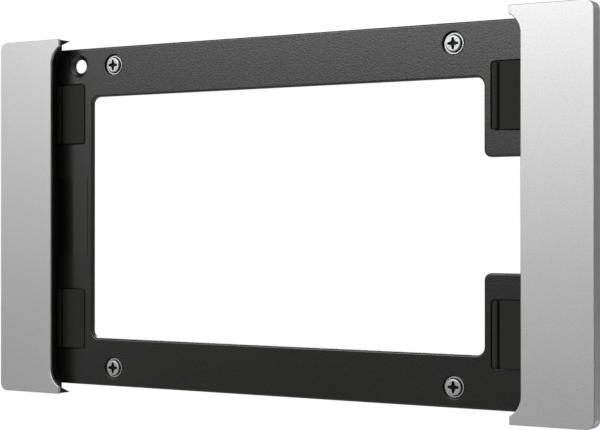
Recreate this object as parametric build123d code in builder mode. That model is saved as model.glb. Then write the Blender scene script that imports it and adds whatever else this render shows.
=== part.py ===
"""Wall mount for a small tablet: a back plate and two side parts that slide outward to free the tablet.

Millimetres. X runs along the tablet, +Z is up, and the front faces -Y. The wall is the plane Y = 0.
The origin is the centre of the four wall screws, on the wall. A height is measured from the wall
towards the front, and Plane.XZ.offset(height) is the plane at that height.
"""
import os
from math import sqrt

from build123d import *

os.makedirs("parts", exist_ok=True)

# The tablet that the mount holds
tablet_width = 203.2
tablet_height = 134.8
tablet_thickness = 6.1
tablet_side_play = 1.2
tablet_front_play = 0.1

# Back plate: 2 mm sheet that stands off the wall on four bosses
plate_height = tablet_height - 2.4
plate_thickness = 2.0
plate_corner = 3.0
plate_edge_radius = 0.7
stand_off = 1.6
bay_shift = 1.1
rail_width = 17.6
rail_height = 18.85
window_shift = 0.4
window_drop = 0.4
window_corner = 3.0
cable_gap = 39.3
cable_gap_corner = 2.5

# Wall screws, their washers and the bosses they pass through
screw_inset_x = 28.6
screw_inset_z = 7.2
screw_radius = 1.5
screw_neck_radius = 1.1
screw_neck_past_wall = 0.3
screw_length = 20.0
screw_point_length = 2.5
screw_head_radius = 2.9
screw_head_height = 1.05
screw_head_rim = 0.6
screw_face_radius = 2.45
screw_hole_radius = 1.7
screw_recess_radius = 4.25
screw_recess_depth = 1.15
screw_recess_mouth = 0.2
boss_radius = 6.0
washer_radius = 3.6
washer_thickness = 0.5
cross_arm_length = 2.1
cross_arm_root = 1.7
cross_arm_tip = 0.8
cross_depth = 0.9
cross_tick_reach = 2.2
cross_tick_width = 0.22
cross_tick_depth = 0.15

# Dished window for the tablet's camera
camera_inset_x = 11.4
camera_inset_z = 6.8
camera_hole_radius = 2.65
camera_dish_radius = 5.2
camera_dish_step = 0.6
camera_cone_radius = 4.4
camera_rim_thickness = 0.3

# Bumper pockets in the plate, and the rubber bumpers in them
pocket_outset_x = 0.2
pocket_inset_z = 13.8
pocket_width = 15.0
pocket_height = 24.0
pocket_depth = 1.45
pocket_corner = 1.6
emboss_sheet = 1.9
bumper_gap = 0.4
bumper_proud = 0.2
bumper_corner = 1.2
bumper_edge_radius = 0.35
bumper_web = 0.5
groove_width = 0.8
rib_width = 2.3
rib_round = 0.6

# Label on the left rail
label_width = 14.1
label_height = 31.1
label_thickness = 0.15
label_wall_gap = 1.8
label_corner = 0.4

# Aluminium covers
cover_sheet = 1.0
cover_width = 25.7
cover_rim = 2.3
cover_depth = 5.5
cover_corner = 3.0
cover_wrap = 4.5
cover_edge_radius = 0.35
lip_overlap = 2.0
lip_arc = 7.8
ear_reach = 4.1
ear_tip_height = 2.9
cover_boss_radius = 2.5
cover_boss_height = 2.2

# Carriers inside the covers, which grip the ends of the plate
carrier_side_gap = 0.2
carrier_end_gap = 0.2
carrier_wall_gap = 0.3
carrier_corner = 2.6
carrier_foot_inset = 1.2
horn_height = 2.5
plate_end_inset = 4.5
slide_gap = 0.15
slide_edge_gap = 0.25
slide_stop_gap = 0.3
rear_leg_reach = 18.0
plug_bay_play = 0.5
plug_bay_wall = 4.2

# Screws that hold a cover to its carrier
cover_screw_end_inset = 11.7
cover_screw_bay_gap = 10.6
cover_screw_inset = 12.3
cover_screw_radius = 1.25
cover_screw_head_radius = 2.3
cover_screw_head_sink = 0.2
cover_screw_end_gap = 0.25
thread_gap = 0.05
boss_gap = 0.2

# Lock: a grub screw in a brass insert, in the foot of each carrier
lock_inset = 14.0
lock_screw_radius = 1.25
lock_insert_radius = 1.75
lock_insert_length = 2.4
lock_tip_gap = 0.3
lock_hex_across = 1.3
lock_hex_depth = 1.3

# Places worked out from the values above. The bay and the covers are drawn about their own middle
# and then moved by bay_shift, because the plate reaches further to the plug side than to the other.
plate_front = stand_off + plate_thickness
lip_under = plate_front + tablet_thickness + tablet_front_play
cover_front = lip_under + cover_sheet
lip_x = tablet_width / 2 - lip_overlap
cover_x = lip_x + cover_width
cover_z = tablet_height / 2 + cover_rim
plate_x = cover_x - plate_end_inset
plate_z = plate_height / 2
wall_x = tablet_width / 2 + tablet_side_play
carrier_x = cover_x - cover_sheet - carrier_side_gap
carrier_z = cover_z - carrier_end_gap
window_width = tablet_width - 2 * rail_width
window_height = plate_height - 2 * rail_height
window_end = window_shift + window_width / 2
ear_x = lip_x - ear_reach
screw_spacing_x = tablet_width - 2 * screw_inset_x
screw_spacing_z = plate_height - 2 * screw_inset_z
camera_x = -(tablet_width / 2 - camera_inset_x)
camera_z = plate_z - camera_inset_z
pocket_x = tablet_width / 2 + pocket_outset_x - pocket_width / 2
pocket_z = plate_z - pocket_inset_z - pocket_height / 2
pocket_floor = plate_front - pocket_depth
washer_seat = plate_front - screw_recess_depth
screw_seat = washer_seat + washer_thickness
screw_tip = screw_seat - screw_length
plug_bay_height = cable_gap - plug_bay_play
cover_screw_end_z = cover_z - cover_screw_end_inset
cover_screw_bay_z = plug_bay_height / 2 + cover_screw_bay_gap
cover_screw_places = (-cover_screw_end_z, -cover_screw_bay_z, cover_screw_bay_z, cover_screw_end_z)
cover_screw_x = cover_x - cover_screw_inset
lock_x = cover_x - lock_inset
lock_height = stand_off + plate_thickness / 2


def save(solid, name):
    """Label a finished piece and write it under its own name."""
    solid.label = name
    export_step(solid, f"parts/{name}.step")


def save_pair(right_solid, left_solid, name):
    """Write the right piece, and the left one as a mirror image, both moved to the bay's middle."""
    save(right_solid.moved(Location((bay_shift, 0, 0))), f"right_{name}")
    save(mirror(left_solid, about=Plane.YZ).moved(Location((bay_shift, 0, 0))), f"left_{name}")


with BuildPart() as base_plate:
    with BuildSketch(Plane.XZ.offset(stand_off)) as plate_outline:
        with Locations((bay_shift, 0)):
            RectangleRounded(2 * plate_x, plate_height, plate_corner)
        with Locations((window_shift, -window_drop)):
            RectangleRounded(window_width, window_height, window_corner, mode=Mode.SUBTRACT)
        with Locations((window_end + plate_x, 0)):
            Rectangle(2 * (plate_x + window_corner), cable_gap, mode=Mode.SUBTRACT)
        gap_corners = [
            v for v in plate_outline.vertices()
            if abs(v.X - window_end) < 0.01 and abs(abs(v.Y) - cable_gap / 2) < 0.01
        ]
        fillet(gap_corners, cable_gap_corner)
    extrude(amount=plate_thickness)
    fillet(base_plate.faces().sort_by(Axis.Y)[0].edges(), plate_edge_radius)

    # Bosses that meet the wall, with a recess for each screw and its washer
    with BuildSketch(Plane.XZ):
        with GridLocations(screw_spacing_x, screw_spacing_z, 2, 2):
            Circle(boss_radius)
    extrude(amount=stand_off)
    with BuildSketch(Plane.XZ.offset(plate_front)):
        with GridLocations(screw_spacing_x, screw_spacing_z, 2, 2):
            Circle(screw_recess_radius)
    extrude(amount=-screw_recess_depth, mode=Mode.SUBTRACT)
    with BuildSketch(Plane.XZ):
        with GridLocations(screw_spacing_x, screw_spacing_z, 2, 2):
            Circle(screw_hole_radius)
    extrude(amount=plate_front, mode=Mode.SUBTRACT)
    recess_rims = base_plate.edges().filter_by(GeomType.CIRCLE).filter_by(
        lambda e: abs(e.center().Y + plate_front) < 0.01 and abs(e.radius - screw_recess_radius) < 0.01
    )
    fillet(recess_rims, screw_recess_mouth)

    # Window for the camera: a step, then a cone that leaves a thin rim round the hole
    with BuildSketch(Plane.XZ.offset(plate_front)):
        with Locations((camera_x, camera_z)):
            Circle(camera_dish_radius)
    extrude(amount=-camera_dish_step, mode=Mode.SUBTRACT)
    with BuildSketch(Plane.XZ.offset(plate_front - camera_dish_step)):
        with Locations((camera_x, camera_z)):
            Circle(camera_cone_radius)
    with BuildSketch(Plane.XZ.offset(stand_off + camera_rim_thickness)):
        with Locations((camera_x, camera_z)):
            Circle(camera_hole_radius)
    loft(mode=Mode.SUBTRACT)
    with BuildSketch(Plane.XZ):
        with Locations((camera_x, camera_z)):
            Circle(camera_hole_radius)
    extrude(amount=plate_front, mode=Mode.SUBTRACT)

    # Four bumper pockets, pressed through the sheet so that their backs stand out behind it
    with BuildSketch(Plane.XZ.offset(pocket_floor - emboss_sheet)):
        with GridLocations(2 * pocket_x, 2 * pocket_z, 2, 2):
            RectangleRounded(pocket_width, pocket_height, pocket_corner)
    extrude(amount=emboss_sheet)
    with BuildSketch(Plane.XZ.offset(plate_front)):
        with GridLocations(2 * pocket_x, 2 * pocket_z, 2, 2):
            RectangleRounded(pocket_width, pocket_height, pocket_corner)
    extrude(amount=-pocket_depth, mode=Mode.SUBTRACT)
save(base_plate.part, "base_plate")

# Bumper, drawn at the origin: a rib on the left, a groove, and a pad that the tablet lies on.
# All four are the same moulding, the same way round.
bumper_width = pocket_width - 2 * bumper_gap
bumper_height = pocket_height - 2 * bumper_gap
pad_width = bumper_width - rib_width - groove_width
bumper_top = plate_front + bumper_proud
with BuildPart() as bumper:
    with BuildSketch(Plane.XZ.offset(pocket_floor)):
        with Locations(((bumper_width - pad_width) / 2, 0)):
            RectangleRounded(pad_width, bumper_height, bumper_corner)
    extrude(amount=bumper_top - pocket_floor)
    fillet(bumper.faces().sort_by(Axis.Y)[0].edges(), bumper_edge_radius)
    with BuildSketch(Plane.XZ.offset(pocket_floor)):
        with Locations(((rib_width - bumper_width) / 2, 0)):
            RectangleRounded(rib_width, bumper_height, rib_width / 2.2)
    extrude(amount=bumper_top - pocket_floor)
    rib_top = bumper.faces().filter_by(Axis.Y).filter_by(
        lambda f: abs(f.center().Y + bumper_top) < 0.01 and f.center().X < 0
    )
    fillet(rib_top.edges(), rib_round)
    with BuildSketch(Plane.XZ.offset(pocket_floor)):
        RectangleRounded(bumper_width, bumper_height, bumper_corner)
    extrude(amount=bumper_web)

# Washer and wall screw, made at the origin of the pattern and copied to its corners
with BuildPart() as washer:
    with BuildSketch(Plane.XZ.offset(washer_seat)):
        Circle(washer_radius)
        Circle(screw_hole_radius, mode=Mode.SUBTRACT)
    extrude(amount=washer_thickness)

with BuildPart() as wall_screw:
    head_top = screw_seat + screw_head_height
    rim_top = screw_seat + screw_head_rim
    with BuildSketch(Plane.XY):
        with BuildLine():
            Polyline(
                (0, -head_top), (0, -screw_tip), (screw_radius, -(screw_tip + screw_point_length)),
                (screw_radius, screw_neck_past_wall), (screw_neck_radius, screw_neck_past_wall),
                (screw_neck_radius, -screw_seat), (screw_head_radius, -screw_seat),
                (screw_head_radius, -rim_top),
            )
            RadiusArc(
                (screw_head_radius, -rim_top), (screw_face_radius, -head_top),
                screw_head_height - screw_head_rim,
            )
            Line((screw_face_radius, -head_top), (0, -head_top))
        make_face()
    revolve(axis=Axis.Y)
    # Cross recess with four tapered arms, and the four ticks between them
    with BuildSketch(Plane.XZ.offset(head_top)):
        with PolarLocations(cross_arm_length / 2, 4):
            Polygon(
                (-cross_arm_length / 2, -cross_arm_root / 2), (cross_arm_length / 2, -cross_arm_tip / 2),
                (cross_arm_length / 2, cross_arm_tip / 2), (-cross_arm_length / 2, cross_arm_root / 2),
                align=None,
            )
    extrude(amount=-cross_depth, mode=Mode.SUBTRACT)
    with BuildSketch(Plane.XZ.offset(head_top)):
        Rectangle(2 * cross_tick_reach, cross_tick_width, rotation=45)
        Rectangle(2 * cross_tick_reach, cross_tick_width, rotation=-45)
    extrude(amount=-cross_tick_depth, mode=Mode.SUBTRACT)

corners = {
    "upper_left": (-1, 1), "upper_right": (1, 1), "lower_left": (-1, -1), "lower_right": (1, -1),
}
for corner, (side, level) in corners.items():
    place = Location((side * screw_spacing_x / 2, 0, level * screw_spacing_z / 2))
    save(wall_screw.part.moved(place), f"wall_screw_{corner}")
    save(washer.part.moved(place), f"wall_washer_{corner}")
    save(bumper.part.moved(Location((side * pocket_x, 0, level * pocket_z))), f"bumper_{corner}")

# Label: one thin film
with BuildPart() as label:
    with BuildSketch(Plane.XZ.offset(plate_front)):
        with Locations((bay_shift - wall_x + label_wall_gap + label_width / 2, 0)):
            RectangleRounded(label_width, label_height, label_corner)
    extrude(amount=label_thickness)
save(label.part, "label")


def bay_outline(x_edge, x_outer, z_outer, corner, tip_height, radius, reach):
    """One end of the bay: a straight inner edge, with an ear and a concave arc at each end."""
    tip_z = z_outer - tip_height
    rise = sqrt(radius**2 - (radius - reach) ** 2)
    arc_z = tip_z - rise
    middle_x = x_edge - radius + radius * sqrt(0.5)
    middle_z = arc_z + radius * sqrt(0.5)
    ear_end = x_edge - reach
    with BuildSketch() as outline:
        with BuildLine():
            Line((x_edge, -arc_z), (x_edge, arc_z))
            ThreePointArc((x_edge, arc_z), (middle_x, middle_z), (ear_end, tip_z))
            Polyline(
                (ear_end, tip_z), (ear_end, z_outer), (x_outer, z_outer),
                (x_outer, -z_outer), (ear_end, -z_outer), (ear_end, -tip_z),
            )
            ThreePointArc((ear_end, -tip_z), (middle_x, -middle_z), (x_edge, -arc_z))
        make_face()
        if corner:
            fillet(outline.vertices().group_by(Axis.X)[-1], corner)
    return outline.sketch


# Cover: a folded aluminium front and side, with a lip over the tablet's edge
cover_outline = bay_outline(lip_x, cover_x, cover_z, cover_corner, ear_tip_height, lip_arc, ear_reach)
with BuildPart() as cover:
    with BuildSketch(Plane.XZ.offset(lip_under)):
        add(cover_outline)
    extrude(amount=cover_sheet)
    with BuildSketch(Plane.XZ.offset(cover_front - cover_depth)) as side_wall:
        with Locations((cover_x - cover_wrap / 2, 0)):
            Rectangle(cover_wrap, 2 * cover_z)
        fillet(side_wall.vertices().group_by(Axis.X)[-1], cover_corner)
        with Locations((cover_x - cover_sheet - cover_wrap, 0)):
            RectangleRounded(
                2 * cover_wrap, 2 * (cover_z - cover_sheet), cover_corner - cover_sheet, mode=Mode.SUBTRACT
            )
    extrude(amount=cover_depth)
    fillet(cover.faces().sort_by(Axis.Y)[0].edges(), cover_edge_radius)
    with BuildSketch(Plane.XZ.offset(lip_under - cover_boss_height)):
        with Locations(*[(cover_screw_x, z) for z in cover_screw_places]):
            Circle(cover_boss_radius)
    extrude(amount=cover_boss_height)
    with BuildSketch(Plane.XZ.offset(lip_under - cover_boss_height)):
        with Locations(*[(cover_screw_x, z) for z in cover_screw_places]):
            Circle(cover_screw_radius + thread_gap)
    extrude(amount=cover_boss_height, mode=Mode.SUBTRACT)
save_pair(cover.part, cover.part, "cover")


def end_carrier(plug_bay):
    """Moulded carrier on the right: the block under the cover, and a leg behind the plate."""
    block_foot = plate_front + slide_gap
    leg_top = stand_off - slide_gap
    horn_tip_z = carrier_z - horn_height
    foot_x = carrier_x - carrier_foot_inset
    block_corner = cover_corner - cover_sheet
    block_outline = bay_outline(
        wall_x, carrier_x, carrier_z, 0,
        horn_height, lip_arc + lip_overlap, wall_x - ear_x,
    )
    with BuildPart() as carrier:
        with BuildSketch(Plane.XZ.offset(block_foot)) as block:
            add(block_outline)
            # Room for the cover's wall where it wraps round the corner
            for level in (1, -1):
                with Locations((cover_x, level * cover_z)):
                    Rectangle(
                        2 * (cover_wrap + carrier_side_gap), 2 * (cover_sheet + carrier_side_gap),
                        mode=Mode.SUBTRACT,
                    )
            fillet(block.vertices().group_by(Axis.X)[-1], block_corner)
        extrude(amount=lip_under - block_foot)
        # Leg behind the plate, and the walls beside the plate's edges
        with BuildSketch(Plane.XZ.offset(carrier_wall_gap)) as foot:
            with Locations((foot_x - rear_leg_reach / 2, 0)):
                Rectangle(rear_leg_reach, 2 * carrier_z)
            fillet(foot.vertices().group_by(Axis.X)[-1], carrier_corner)
        extrude(amount=block_foot - carrier_wall_gap)
        # Slot for the end of the plate
        with BuildSketch(Plane.XZ.offset(leg_top)):
            with Locations((plate_x / 2 + slide_stop_gap / 2, 0)):
                Rectangle(plate_x + slide_stop_gap, plate_height + 2 * slide_edge_gap)
        extrude(amount=block_foot - leg_top, mode=Mode.SUBTRACT)
        # The horns under the ears are wedges, open towards the plate
        with BuildSketch(Plane.YZ.offset(ear_x)):
            for level in (1, -1):
                with BuildLine():
                    Polyline(
                        (-block_foot, level * carrier_z), (-lip_under, level * horn_tip_z),
                        (-lip_under, level * tablet_height / 4),
                        (-block_foot, level * tablet_height / 4), close=True,
                    )
                make_face()
        extrude(amount=ear_reach, mode=Mode.SUBTRACT)
        # Seats of the cover's bosses and their screws
        with BuildSketch(Plane.XZ.offset(lip_under)):
            with Locations(*[(cover_screw_x, z) for z in cover_screw_places]):
                Circle(cover_boss_radius + boss_gap)
        extrude(amount=-(cover_boss_height + boss_gap), mode=Mode.SUBTRACT)
        with BuildSketch(Plane.XZ.offset(block_foot)):
            with Locations(*[(cover_screw_x, z) for z in cover_screw_places]):
                Circle(cover_screw_radius + thread_gap)
        extrude(amount=lip_under - block_foot, mode=Mode.SUBTRACT)
        with BuildSketch(Plane.XZ.offset(block_foot)):
            with Locations(*[(cover_screw_x, z) for z in cover_screw_places]):
                Circle(cover_screw_head_radius + cover_screw_head_sink + thread_gap)
        extrude(
            amount=cover_screw_head_radius + cover_screw_head_sink - cover_screw_radius,
            taper=45, mode=Mode.SUBTRACT,
        )
        # Bore of the lock's insert, up through the foot
        with BuildSketch(Plane.XY.offset(-carrier_z)):
            with Locations((lock_x, -lock_height)):
                Circle(lock_insert_radius)
        extrude(amount=carrier_z - plate_z, mode=Mode.SUBTRACT)
        if plug_bay:
            with BuildSketch(Plane.XZ):
                with Locations(((carrier_x - plug_bay_wall) / 2, 0)):
                    Rectangle(carrier_x - plug_bay_wall, plug_bay_height)
            extrude(amount=lip_under, mode=Mode.SUBTRACT)
    return carrier.part


save_pair(end_carrier(plug_bay=True), end_carrier(plug_bay=False), "carrier")

# Countersunk screw from the plate side of a carrier into a boss of its cover
with BuildPart() as cover_screw:
    head_face = plate_front + slide_gap + cover_screw_head_sink
    cone_end = head_face + cover_screw_head_radius - cover_screw_radius
    screw_end = lip_under - cover_screw_end_gap
    with BuildSketch(Plane.XY):
        with BuildLine():
            Polyline(
                (0, -head_face), (cover_screw_head_radius, -head_face), (cover_screw_radius, -cone_end),
                (cover_screw_radius, -screw_end), (0, -screw_end), close=True,
            )
        make_face()
    revolve(axis=Axis.Y)
    with BuildSketch(Plane.XZ.offset(head_face)):
        Rectangle(cover_screw_head_radius * 1.1, cover_screw_radius * 0.4)
        Rectangle(cover_screw_radius * 0.4, cover_screw_head_radius * 1.1)
    extrude(amount=cover_screw_radius * 0.6, mode=Mode.SUBTRACT)
for number, z in enumerate(cover_screw_places, start=1):
    solid = cover_screw.part.moved(Location((cover_screw_x, 0, z)))
    save_pair(solid, solid, f"cover_screw_{number}")

# Lock: brass insert and hexagon-socket grub screw
with BuildPart() as lock_insert:
    with BuildSketch(Plane.XY.offset(-carrier_z)):
        with Locations((lock_x, -lock_height)):
            Circle(lock_insert_radius)
            Circle(lock_screw_radius + thread_gap, mode=Mode.SUBTRACT)
    extrude(amount=lock_insert_length)
save_pair(lock_insert.part, lock_insert.part, "lock_insert")

with BuildPart() as lock_screw:
    with BuildSketch(Plane.XY.offset(-carrier_z)):
        with Locations((lock_x, -lock_height)):
            Circle(lock_screw_radius)
    extrude(amount=carrier_z - plate_z - lock_tip_gap)
    with BuildSketch(Plane.XY.offset(-carrier_z)):
        with Locations((lock_x, -lock_height)):
            RegularPolygon(lock_hex_across / 2, 6, major_radius=False)
    extrude(amount=lock_hex_depth, mode=Mode.SUBTRACT)
save_pair(lock_screw.part, lock_screw.part, "lock_screw")
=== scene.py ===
# %% [markdown]
# # A wall mount for a small tablet
# The mount is a thin black steel plate on a wall, with an aluminium cover at each end.
# The CAD model gives every solid its exact shape, so this script adds what a solid doesn't have:
# the finish of each surface, the threads of the wall screws, and the light of a photo studio.
# Millimetres are turned into metres once, by the value MM, because Blender works in metres.

import math

import bmesh
import bpy
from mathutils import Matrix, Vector


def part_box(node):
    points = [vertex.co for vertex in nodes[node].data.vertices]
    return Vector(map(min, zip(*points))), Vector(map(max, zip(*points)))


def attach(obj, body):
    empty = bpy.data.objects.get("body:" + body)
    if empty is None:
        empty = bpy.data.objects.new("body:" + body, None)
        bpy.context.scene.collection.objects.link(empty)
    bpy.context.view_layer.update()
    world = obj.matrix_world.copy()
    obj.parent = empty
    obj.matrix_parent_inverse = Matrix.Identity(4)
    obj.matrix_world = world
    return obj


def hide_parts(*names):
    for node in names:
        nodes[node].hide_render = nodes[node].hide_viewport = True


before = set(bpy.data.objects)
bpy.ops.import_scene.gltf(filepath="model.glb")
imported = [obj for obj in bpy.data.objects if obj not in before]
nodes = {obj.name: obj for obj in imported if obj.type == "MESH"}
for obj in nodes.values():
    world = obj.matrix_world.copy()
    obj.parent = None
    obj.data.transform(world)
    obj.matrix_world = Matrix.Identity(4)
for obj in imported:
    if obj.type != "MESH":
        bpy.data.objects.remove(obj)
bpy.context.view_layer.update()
scene = bpy.context.scene
MM = 0.001
print("solids in the frame:", len(nodes))

# %% [markdown]
# ## Colours
# A colour picked from a screen is an sRGB hex value. Shaders mix light, which is linear,
# so one function turns the hex value into linear numbers. Without it, dark colours come out grey.
# The numbers in it are those of the sRGB standard: a short straight part, then a power of 2.4.


# %% Hex colour to linear colour
def hex_to_linear(hex_value):
    channels = [int(hex_value[i:i + 2], 16) / 255 for i in (1, 3, 5)]
    linear = [c / 12.92 if c <= 0.04045 else ((c + 0.055) / 1.055) ** 2.4 for c in channels]
    return (*linear, 1.0)


print("middle grey:", [round(c, 3) for c in hex_to_linear("#808080")])

# %% [markdown]
# ## Building a shader in few lines
# A material is a small tree of nodes. One function adds any node, sets its options,
# and fills its sockets with numbers or with the output of another node.


# %% Node helpers
def fill_sockets(tree, node, sockets):
    for name, value in sockets.items():
        if isinstance(value, bpy.types.NodeSocket):
            tree.links.new(value, node.inputs[name])
        else:
            node.inputs[name].default_value = value


def add_node(tree, kind, sockets=None, **options):
    made = tree.nodes.new(kind)
    for name, value in options.items():
        setattr(made, name, value)
    fill_sockets(tree, made, sockets or {})
    return made


def per_metre(size_mm):
    """A texture's scale: how many pattern cells of this size fit in a metre."""
    return 1.0 / (size_mm * MM)


print("cells of 0.7 mm in a metre:", round(per_metre(0.7)))

# %% [markdown]
# Every finish starts the same way: an empty tree, a Principled shader that goes to the output,
# and the Object coordinate, which keeps a pattern in place on the piece. When the finish is done,
# it takes the place of the plain material that the named solids came with.


# %% Material helpers
def start_material(name):
    material = bpy.data.materials.new(name)
    material.use_nodes = True
    tree = material.node_tree
    tree.nodes.clear()
    shader = add_node(tree, "ShaderNodeBsdfPrincipled")
    add_node(tree, "ShaderNodeOutputMaterial", {"Surface": shader.outputs["BSDF"]})
    place = add_node(tree, "ShaderNodeTexCoord").outputs["Object"]
    return material, tree, shader, place


def put_on(material, *names):
    for name in names:
        slots = nodes[name].data.materials
        slots.clear()
        slots.append(material)
    print(material.name, "on pieces:", len(names))


print("materials before the first finish:", len(bpy.data.materials))

# %% [markdown]
# ## Powder-coated steel
# The back plate is sheet steel with a black powder coat. The powder is sprayed on dry and baked,
# so it melts into a skin with a soft grain, like very fine orange peel. Two noise patterns make it:
# a fine one for the grain, and a broad one that varies the gloss a little, as a real coat does.
# The real grain is finer than 0.7 mm, but a finer one wouldn't show in the render.
# The shader's coat layer is the resin at the top of the skin, over the pigment.

# %% Powder-coated steel material
powder_coat, tree, shader, place = start_material("powder_coated_steel")
grain = add_node(
    tree, "ShaderNodeTexNoise", {"Vector": place, "Scale": per_metre(0.7), "Detail": 4.0}
)
cloud = add_node(
    tree, "ShaderNodeTexNoise", {"Vector": place, "Scale": per_metre(35), "Detail": 2.0}
)
gloss = add_node(
    tree, "ShaderNodeMapRange", {"Value": cloud.outputs["Fac"], "To Min": 0.27, "To Max": 0.33}
)
coat_bump = add_node(
    tree, "ShaderNodeBump",
    {"Height": grain.outputs["Fac"], "Strength": 0.7, "Distance": 0.07 * MM},
)
fill_sockets(tree, shader, {
    "Base Color": hex_to_linear("#141611"), "IOR": 1.55,
    "Coat Weight": 0.76, "Coat Roughness": 0.29, "Coat IOR": 1.5,
    "Roughness": gloss.outputs["Result"],
    "Normal": coat_bump.outputs["Normal"],
    "Coat Normal": coat_bump.outputs["Normal"],
})
put_on(powder_coat, "base_plate")

# %% [markdown]
# ## Bead-blasted, anodised aluminium
# The covers are folded from aluminium, blasted with fine glass beads and then anodised. Blasting
# leaves tiny dents that spread each reflection, and the clear oxide skin keeps them from shining.
# A real dent is about 0.1 mm across. The pattern is drawn at 0.6 mm, as coarse as it needs to show.

# %% Anodised aluminium material
anodised, tree, shader, place = start_material("bead_blasted_anodised_aluminium")
beads = add_node(
    tree, "ShaderNodeTexNoise", {"Vector": place, "Scale": per_metre(0.6), "Detail": 4.0}
)
cloud = add_node(
    tree, "ShaderNodeTexNoise", {"Vector": place, "Scale": per_metre(50), "Detail": 1.0}
)
gloss = add_node(
    tree, "ShaderNodeMapRange", {"Value": cloud.outputs["Fac"], "To Min": 0.42, "To Max": 0.47}
)
bead_bump = add_node(
    tree, "ShaderNodeBump",
    {"Height": beads.outputs["Fac"], "Strength": 0.5, "Distance": 0.03 * MM},
)
oxide = add_node(
    tree, "ShaderNodeMix",
    {
        "Factor": beads.outputs["Fac"],
        "A": hex_to_linear("#D0D0D0"), "B": hex_to_linear("#F3F3F3"),
    },
    data_type="RGBA",
)
fill_sockets(tree, shader, {
    "Base Color": oxide.outputs["Result"], "Metallic": 1.0,
    "Roughness": gloss.outputs["Result"], "Normal": bead_bump.outputs["Normal"],
})
put_on(anodised, "left_cover", "right_cover")

# %% [markdown]
# ## Moulded ABS
# The carriers under the covers are moulded in black ABS. The mould is spark-eroded, which gives
# the plastic a fine matt grain, so it reflects little and looks darker than the coated plate.
# The grain is drawn at 0.25 mm, a few times coarser than a real one.

# %% Moulded ABS material
moulded_abs, tree, shader, place = start_material("moulded_black_abs")
spark = add_node(
    tree, "ShaderNodeTexNoise", {"Vector": place, "Scale": per_metre(0.25), "Detail": 2.0}
)
spark_bump = add_node(
    tree, "ShaderNodeBump",
    {"Height": spark.outputs["Fac"], "Strength": 0.3, "Distance": 0.03 * MM},
)
fill_sockets(tree, shader, {
    "Base Color": hex_to_linear("#131314"), "Roughness": 0.6, "IOR": 1.54,
    "Normal": spark_bump.outputs["Normal"],
})
put_on(moulded_abs, "left_carrier", "right_carrier")

# %% [markdown]
# ## Rubber bumpers
# The bumpers are moulded rubber. Rubber is rougher than plastic and has a faint bloom,
# a thin greyish film that comes out of it with time, so its darks are never quite black.
# The bloom lies in soft patches of about 6 mm, and the skin has a grain drawn at 0.4 mm.

# %% Rubber material
rubber, tree, shader, place = start_material("moulded_rubber")
bloom = add_node(
    tree, "ShaderNodeTexNoise", {"Vector": place, "Scale": per_metre(6), "Detail": 3.0}
)
tint = add_node(
    tree, "ShaderNodeMix",
    {
        "Factor": bloom.outputs["Fac"],
        "A": hex_to_linear("#1A1B17"), "B": hex_to_linear("#21221E"),
    },
    data_type="RGBA",
)
skin = add_node(
    tree, "ShaderNodeTexNoise", {"Vector": place, "Scale": per_metre(0.4), "Detail": 2.0}
)
skin_bump = add_node(
    tree, "ShaderNodeBump",
    {"Height": skin.outputs["Fac"], "Strength": 0.2, "Distance": 0.03 * MM},
)
fill_sockets(tree, shader, {
    "Base Color": tint.outputs["Result"], "Roughness": 0.72, "IOR": 1.52,
    "Normal": skin_bump.outputs["Normal"],
})
put_on(rubber, *[name for name in nodes if name.startswith("bumper_")])

# %% [markdown]
# ## Zinc-plated steel
# The wall screws and washers are steel with a bright zinc plate. Zinc is a metal with a slightly
# blue grey, and the plating barrel leaves it satin instead of mirror bright, in fine patches.

# %% Satin of the zinc plate
zinc, tree, shader, place = start_material("zinc_plated_steel")
mottle = add_node(
    tree, "ShaderNodeTexNoise", {"Vector": place, "Scale": per_metre(0.8), "Detail": 2.0}
)
gloss = add_node(
    tree, "ShaderNodeMapRange", {"Value": mottle.outputs["Fac"], "To Min": 0.36, "To Max": 0.48}
)
gloss_range = [round(gloss.inputs[end].default_value, 2) for end in ("To Min", "To Max")]
print("zinc roughness, from and to:", gloss_range)

# %% [markdown]
# Two places on a screw are painted near black to stand for shade: the cross recess, which lies deep
# in shadow, and the tight corner between the head and its washer, where little light gets in. Both
# are found by their place on the screw.
# The four screws stand at the corners of a rectangle round the origin. Dropping the sign of a
# point's X and Z folds the four into one, so one sum gives the distance from the nearest axis.
# Multiplying by (1, 0, 1) leaves the depth out of that distance.

# %% Distance from a screw's axis
SCREW_X = 73.0
SCREW_Z = 59.0
mirrored = add_node(tree, "ShaderNodeVectorMath", {0: place}, operation="ABSOLUTE")
from_axis = add_node(
    tree, "ShaderNodeVectorMath",
    {0: mirrored.outputs["Vector"], 1: (SCREW_X * MM, 0, SCREW_Z * MM)},
    operation="SUBTRACT",
)
flat = add_node(
    tree, "ShaderNodeVectorMath", {0: from_axis.outputs["Vector"], 1: (1, 0, 1)},
    operation="MULTIPLY",
)
radius = add_node(
    tree, "ShaderNodeVectorMath", {0: flat.outputs["Vector"]}, operation="LENGTH"
)
height = add_node(tree, "ShaderNodeSeparateXYZ", {"Vector": place})
print("screws at, mm:", SCREW_X, SCREW_Z)
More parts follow.
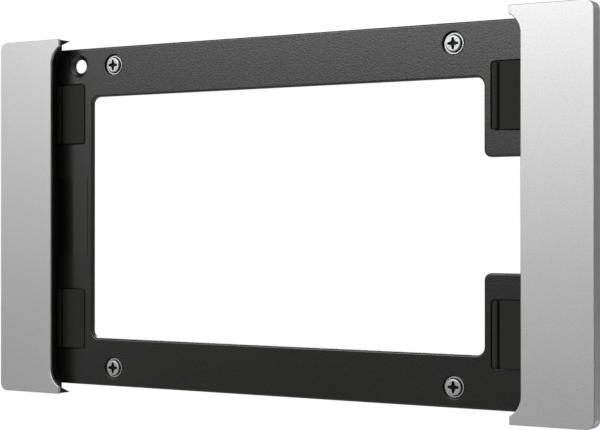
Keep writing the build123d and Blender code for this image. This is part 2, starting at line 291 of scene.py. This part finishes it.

# %% [markdown]
# The wall plane is at Y = 0 and Y grows into the wall, so a more negative Y is nearer the viewer.
# A head's face is at -4.0 mm and its seat on the washer at -2.95 mm. Near the axis, the painted
# shade starts just under the face, is full at -3.6 mm, and ends before the washer.

# %% Painted shade in the cross recess
RECESS_REACH = 2.3
RECESS_MOUTH = -3.95
RECESS_FULL = -3.6
RECESS_END = -3.0
near_axis = add_node(
    tree, "ShaderNodeMath", {0: radius.outputs["Value"], 1: RECESS_REACH * MM},
    operation="LESS_THAN",
)
below_face = add_node(
    tree, "ShaderNodeMapRange",
    {
        "Value": height.outputs["Y"],
        "From Min": RECESS_MOUTH * MM, "From Max": RECESS_FULL * MM,
    },
)
above_washer = add_node(
    tree, "ShaderNodeMath", {0: height.outputs["Y"], 1: RECESS_END * MM}, operation="LESS_THAN"
)
in_head = add_node(
    tree, "ShaderNodeMath", {0: near_axis.outputs["Value"], 1: above_washer.outputs["Value"]},
    operation="MULTIPLY",
)
# painted shade: this mask is full where the cross recess lies in shadow
recess = add_node(
    tree, "ShaderNodeMath", {0: in_head.outputs["Value"], 1: below_face.outputs["Result"]},
    operation="MULTIPLY",
)
print("recess is dark within, mm:", RECESS_REACH)

# %% [markdown]
# The corner is a thin ring about 3.0 mm from the axis, 0.2 mm to each side, below the rounded part
# of the head, and is painted dark for the shade that falls there. It takes in the side of the head
# and the part of the washer next to it.

# %% Painted shade in the corner between head and washer
CORNER_RADIUS = 3.0
CORNER_SPREAD = 0.2
CORNER_TOP = -3.5
at_rim = add_node(
    tree, "ShaderNodeMath",
    {0: radius.outputs["Value"], 1: CORNER_RADIUS * MM, 2: CORNER_SPREAD * MM},
    operation="COMPARE",
)
under_rim = add_node(
    tree, "ShaderNodeMath", {0: height.outputs["Y"], 1: CORNER_TOP * MM},
    operation="GREATER_THAN",
)
# painted shade: the ring where the head meets the washer
corner = add_node(
    tree, "ShaderNodeMath", {0: at_rim.outputs["Value"], 1: under_rim.outputs["Value"]},
    operation="MULTIPLY",
)
print("corner ring at, mm:", CORNER_RADIUS)

# %% [markdown]
# The larger of the two masks mixes the bright plate with a near black, which is painted shade.

# %% Zinc-plated steel material
# painted shade: near black zinc where the recess and the corner lie in shadow
painted_shade = add_node(
    tree, "ShaderNodeMath", {0: recess.outputs["Value"], 1: corner.outputs["Value"]},
    operation="MAXIMUM",
)
zinc_with_painted_shade = add_node(
    tree, "ShaderNodeMix",
    {
        "Factor": painted_shade.outputs["Value"],
        "A": hex_to_linear("#DCDDDE"), "B": hex_to_linear("#2B2B2A"),
    },
    data_type="RGBA",
)
fill_sockets(tree, shader, {
    "Base Color": zinc_with_painted_shade.outputs["Result"], "Metallic": 1.0,
    "Roughness": gloss.outputs["Result"],
})
put_on(zinc, *[name for name in nodes if name.startswith(("wall_screw", "wall_washer"))])

# %% [markdown]
# ## Threads of the wall screws
# In the CAD model a wall screw is a smooth bar behind the plate, because a thread is slow to make
# there and adds nothing to a fit. Here it can be real. A chipboard screw has a thin core and a
# steep, sharp ridge that runs round it once every 1.35 mm and takes up about half of that.
# Rings of points are stacked along the screw, and each point's distance from the axis depends on
# its depth and its angle together: that is all that turns a stack of rings into a helix. The ridge
# grows to full height in the first millimetre, and the last 3 mm narrow to a small blunt end.

# %% Thread shape, in mm and shares
THREAD_PITCH = 1.35
CORE_RADIUS = 1.0
CREST_RADIUS = 1.49
RIDGE_SHARE = 0.24
THREAD_START = 0.3
FADE_IN = 1.0
SCREW_TIP = 17.05
POINT_LENGTH = 3.0
BLUNT_SHARE = 0.04


def thread_radius(depth, angle):
    """Distance from the screw's axis, in mm, at this depth behind the wall plane."""
    turn = (depth / THREAD_PITCH - angle / math.tau) % 1.0
    ridge = max(0.0, 1.0 - abs(turn - 0.5) / RIDGE_SHARE)
    start = min(1.0, max(0.0, (depth - THREAD_START) / FADE_IN))
    point = min(1.0, max(BLUNT_SHARE, (SCREW_TIP - depth) / POINT_LENGTH))
    return (CORE_RADIUS + (CREST_RADIUS - CORE_RADIUS) * ridge * start) * point


print("turns of thread:", round((SCREW_TIP - THREAD_START) / THREAD_PITCH, 1))

# %% [markdown]
# The rings stand 0.09 mm apart, 15 to a turn, so the ridge stays sharp. Each ring has 24 points.
# The first ring lies inside the screw's neck, 0.6 mm in front of the wall plane, so no gap shows.
# The first and the last ring get a lid, which closes the mesh as a real solid is closed.

# %% Shank with a thread
FIRST_RING = -0.6
RING_STEP = 0.09
RING_COUNT = 197
RING_POINTS = 24


def add_thread(mesh, centre_x, centre_z):
    rings = []
    for step in range(RING_COUNT):
        depth = FIRST_RING + RING_STEP * step
        ring = []
        for side in range(RING_POINTS):
            angle = math.tau * side / RING_POINTS
            reach = thread_radius(depth, angle)
            ring.append(mesh.verts.new((
                centre_x + reach * math.cos(angle) * MM, depth * MM,
                centre_z + reach * math.sin(angle) * MM,
            )))
        rings.append(ring)
    for ring, deeper in zip(rings, rings[1:]):
        for side in range(RING_POINTS):
            after = (side + 1) % RING_POINTS
            face = mesh.faces.new((ring[side], deeper[side], deeper[after], ring[after]))
            face.smooth = True
    mesh.faces.new(rings[0])
    mesh.faces.new(list(reversed(rings[-1])))


print("last ring at, mm:", round(FIRST_RING + RING_STEP * (RING_COUNT - 1), 2))

# %% [markdown]
# The head keeps the CAD model's own shape, so its cross stays crisp. The CAD mesh comes as patches
# that only touch, so their points are welded first. Then all that lies more than 0.1 mm behind
# the wall plane is cut away, and the ring of open edges that the cut leaves gets a lid. Without
# the weld, the lid would close the seams between the patches too, and the head would look torn.

# %% Head without its shank
WELD_REACH = 0.002
CUT_DEPTH = 0.1


def head_mesh(name):
    mesh = bmesh.new()
    mesh.from_mesh(nodes[name].data)
    mesh.transform(nodes[name].matrix_world)
    bmesh.ops.remove_doubles(mesh, verts=mesh.verts[:], dist=WELD_REACH * MM)
    everything = mesh.verts[:] + mesh.edges[:] + mesh.faces[:]
    bmesh.ops.bisect_plane(
        mesh, geom=everything, plane_co=(0, CUT_DEPTH * MM, 0), plane_no=(0, 1, 0),
        clear_outer=True,
    )
    rim = [edge for edge in mesh.edges if edge.is_boundary]
    bmesh.ops.holes_fill(mesh, edges=rim)
    print(name, "edges round the cut:", len(rim))
    return mesh


print("screws are cut at, mm:", CUT_DEPTH)

# %% [markdown]
# The head and the shank are joined in one mesh, which takes the place of the CAD screw. The normals
# that came with the CAD mesh no longer fit it, so they are dropped, and edges steeper than
# 32 degrees are marked sharp instead.

# %% Threaded screws
SHARP_ANGLE = 32
screw_names = [name for name in nodes if name.startswith("wall_screw")]
for name in screw_names:
    low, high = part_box(name)
    mesh = head_mesh(name)
    add_thread(mesh, (low[0] + high[0]) / 2, (low[2] + high[2]) / 2)
    data = bpy.data.meshes.new("threaded_" + name)
    mesh.to_mesh(data)
    mesh.free()
    if "custom_normal" in data.attributes:
        data.attributes.remove(data.attributes["custom_normal"])
    data.set_sharp_from_angle(angle=math.radians(SHARP_ANGLE))
    data.materials.append(zinc)
    threaded = bpy.data.objects.new("threaded_" + name, data)
    scene.collection.objects.link(threaded)
    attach(threaded, "wall_base")
    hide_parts(name)
print("threaded screws:", len(screw_names), "faces each:", len(data.polygons))

# %% [markdown]
# ## Small hidden screws
# The screws that hold the covers and lock the slides are black oxide steel. The oxide is a thin
# dark skin that leaves the metal's sheen, with an oily film that varies it in patches of 1 mm.

# %% Black oxide material
black_oxide, tree, shader, place = start_material("black_oxide_steel")
oil = add_node(
    tree, "ShaderNodeTexNoise", {"Vector": place, "Scale": per_metre(1.0), "Detail": 2.0}
)
gloss = add_node(
    tree, "ShaderNodeMapRange", {"Value": oil.outputs["Fac"], "To Min": 0.35, "To Max": 0.5}
)
fill_sockets(tree, shader, {
    "Base Color": hex_to_linear("#3A3A3D"), "Metallic": 1.0,
    "Roughness": gloss.outputs["Result"],
})
put_on(black_oxide, *[name for name in nodes if "cover_screw" in name or "lock_screw" in name])

# %% [markdown]
# ## Brass inserts
# The inserts of the lock screws are turned brass. The tool leaves fine rings round the piece, so
# the gloss comes in bands along its axis, Z. A wave texture draws three bands in each cell, so
# a cell of 0.6 mm gives rings 0.2 mm apart, the mark of a quick cut.

# %% Turned brass material
brass, tree, shader, place = start_material("turned_brass")
turning = add_node(
    tree, "ShaderNodeTexWave", {"Vector": place, "Scale": per_metre(0.6), "Distortion": 0.6},
    bands_direction="Z",
)
gloss = add_node(
    tree, "ShaderNodeMapRange", {"Value": turning.outputs["Fac"], "To Min": 0.25, "To Max": 0.4}
)
fill_sockets(tree, shader, {
    "Base Color": hex_to_linear("#D9B665"), "Metallic": 1.0,
    "Roughness": gloss.outputs["Result"],
})
put_on(brass, "left_lock_insert", "right_lock_insert")

# %% [markdown]
# ## Printed polyester label
# The label is a polyester film printed from behind in two dark fields.
# One material holds both fields: a step in X, at half the label's width, picks the colour.

# %% Label material
label_film, tree, shader, place = start_material("printed_polyester_film")
low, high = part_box("label")
across = add_node(tree, "ShaderNodeSeparateXYZ", {"Vector": place})
field = add_node(
    tree, "ShaderNodeMath", {0: across.outputs["X"], 1: (low[0] + high[0]) / 2},
    operation="GREATER_THAN",
)
print_colour = add_node(
    tree, "ShaderNodeMix",
    {
        "Factor": field.outputs["Value"],
        "A": hex_to_linear("#060607"), "B": hex_to_linear("#30332E"),
    },
    data_type="RGBA",
)
fill_sockets(tree, shader, {
    "Base Color": print_colour.outputs["Result"], "Roughness": 0.3, "IOR": 1.6,
})
put_on(label_film, "label")
print("label, mm:", [round((b - a) / MM, 2) for a, b in zip(low, high)])

# %% [markdown]
# ## Floor
# A pale paper floor lies well below the mount, where it catches no shadow in view. The black
# pieces still mirror it, so it is a part of the light. Paper fibres give it a grain of 2 mm.

# %% Paper floor
FLOOR_SIZE = 4.0
FLOOR_LEVEL = -0.52
bpy.ops.mesh.primitive_plane_add(size=FLOOR_SIZE, location=(0, 0, FLOOR_LEVEL))
floor = bpy.context.object
floor.name = "studio_floor"
paper, tree, shader, place = start_material("matt_white_paper")
fibre = add_node(
    tree, "ShaderNodeTexNoise", {"Vector": place, "Scale": per_metre(2.0), "Detail": 2.0}
)
fibre_bump = add_node(
    tree, "ShaderNodeBump",
    {"Height": fibre.outputs["Fac"], "Strength": 0.1, "Distance": 0.1 * MM},
)
fill_sockets(tree, shader, {
    "Base Color": hex_to_linear("#E0E0E0"), "Roughness": 0.9,
    "Normal": fibre_bump.outputs["Normal"],
})
floor.data.materials.append(paper)
print("floor level, m:", FLOOR_LEVEL)

# %% [markdown]
# ## World
# The photo has a plain white ground, so the camera has to see a white world. The same white would
# flood the black pieces with light, so every other ray meets a soft grey one. Its Generated
# coordinate is the ray's direction, with Z from -1 straight down to 1 straight up. The grey is
# black below the horizon, rises to 0.45 a little above it, and fades to a tenth of that overhead.
# The black coat mirrors this bright band, which gives it a sheen without making it grey all over.
# The Standard view shows colours as they are, so white stays white.

# %% White ground and soft grey light
world = bpy.data.worlds.new("studio_world")
world.use_nodes = True
scene.world = world
tree = world.node_tree
tree.nodes.clear()
ray = add_node(tree, "ShaderNodeLightPath")
direction = add_node(tree, "ShaderNodeTexCoord").outputs["Generated"]
sky = add_node(tree, "ShaderNodeSeparateXYZ", {"Vector": direction})
rise = add_node(
    tree, "ShaderNodeMapRange",
    {"Value": sky.outputs["Z"], "From Min": -0.15, "From Max": 0.3, "To Min": 0.0, "To Max": 0.45},
)
fall = add_node(
    tree, "ShaderNodeMapRange",
    {"Value": sky.outputs["Z"], "From Min": 0.35, "From Max": 0.8, "To Min": 1.0, "To Max": 0.1},
)
glow = add_node(
    tree, "ShaderNodeMath", {0: rise.outputs["Result"], 1: fall.outputs["Result"]},
    operation="MULTIPLY",
)
ambient = add_node(
    tree, "ShaderNodeBackground", {"Color": (1, 1, 1, 1), "Strength": glow.outputs["Value"]}
)
white = add_node(tree, "ShaderNodeBackground", {"Color": (1, 1, 1, 1), "Strength": 1.0})
seen = add_node(
    tree, "ShaderNodeMixShader",
    {
        0: ray.outputs["Is Camera Ray"],
        1: ambient.outputs["Background"], 2: white.outputs["Background"],
    },
)
add_node(tree, "ShaderNodeOutputWorld", {"Surface": seen.outputs["Shader"]})
scene.view_settings.view_transform = "Standard"
print("world:", world.name)

# %% [markdown]
# ## Softboxes
# A softbox is a large area light, and the larger it is, the softer its shadows. Four stand round
# the mount. The key is the largest, in front and above, and gives the covers their slow fall from
# bright to grey. A weak one lifts the dark pieces at the left, one low on the right lights
# the end wall of the right cover, and one high behind the mount lights the top edges.


# %% Softboxes, in metres and watts
def add_softbox(name, place, target, width, height, watts):
    light = bpy.data.lights.new(name, "AREA")
    light.shape = "RECTANGLE"
    light.size = width
    light.size_y = height
    light.energy = watts
    lamp = bpy.data.objects.new(name, light)
    scene.collection.objects.link(lamp)
    lamp.location = place
    lamp.rotation_euler = (Vector(target) - Vector(place)).to_track_quat("-Z", "Y").to_euler()
    print(name, "watts:", watts)


add_softbox("key_softbox", (-0.45, -1.18, 0.67), (0, 0, 0.02), 1.15, 0.9, 8.8)
add_softbox("left_softbox", (-0.95, -0.8, 0), (-0.1, 0, -0.02), 0.4, 0.4, 0.16)
add_softbox("right_softbox", (0.8, 0.9, -0.5), (0.12, 0, -0.04), 0.5, 0.5, 1.2)
add_softbox("back_softbox", (-0.5, 1.2, 0.6), (0, 0, 0), 0.8, 0.6, 5.0)

# %% [markdown]
# ## Camera
# The camera stands more than half a metre away, to the right of the middle, and looks left along
# the mount. That is what makes the right cover look so much larger than the left one. Its place,
# turn and lens were fitted to the photo, until the outlines of the pieces fell on those in it.

# %% Camera, in mm and degrees
SENSOR_WIDTH = 36.0
LENS = 96.0
CAMERA_PLACE = (308.91, -502.15, -3.11)
CAMERA_TURN = (90.33, 0.02, 30.8)
camera_data = bpy.data.cameras.new("camera")
camera_data.sensor_width = SENSOR_WIDTH
camera_data.lens = LENS
camera_data.clip_start = 0.01
camera = bpy.data.objects.new("camera", camera_data)
scene.collection.objects.link(camera)
camera.location = [value * MM for value in CAMERA_PLACE]
camera.rotation_euler = [math.radians(value) for value in CAMERA_TURN]
scene.camera = camera
print("camera distance, mm:", round(camera.location.length / MM))

# %% [markdown]
# ## Scene update
# A finish or a thread mustn't make the mount larger than its CAD model. At the end the scene is
# brought up to date.

# %% Scene update
bpy.context.view_layer.update()
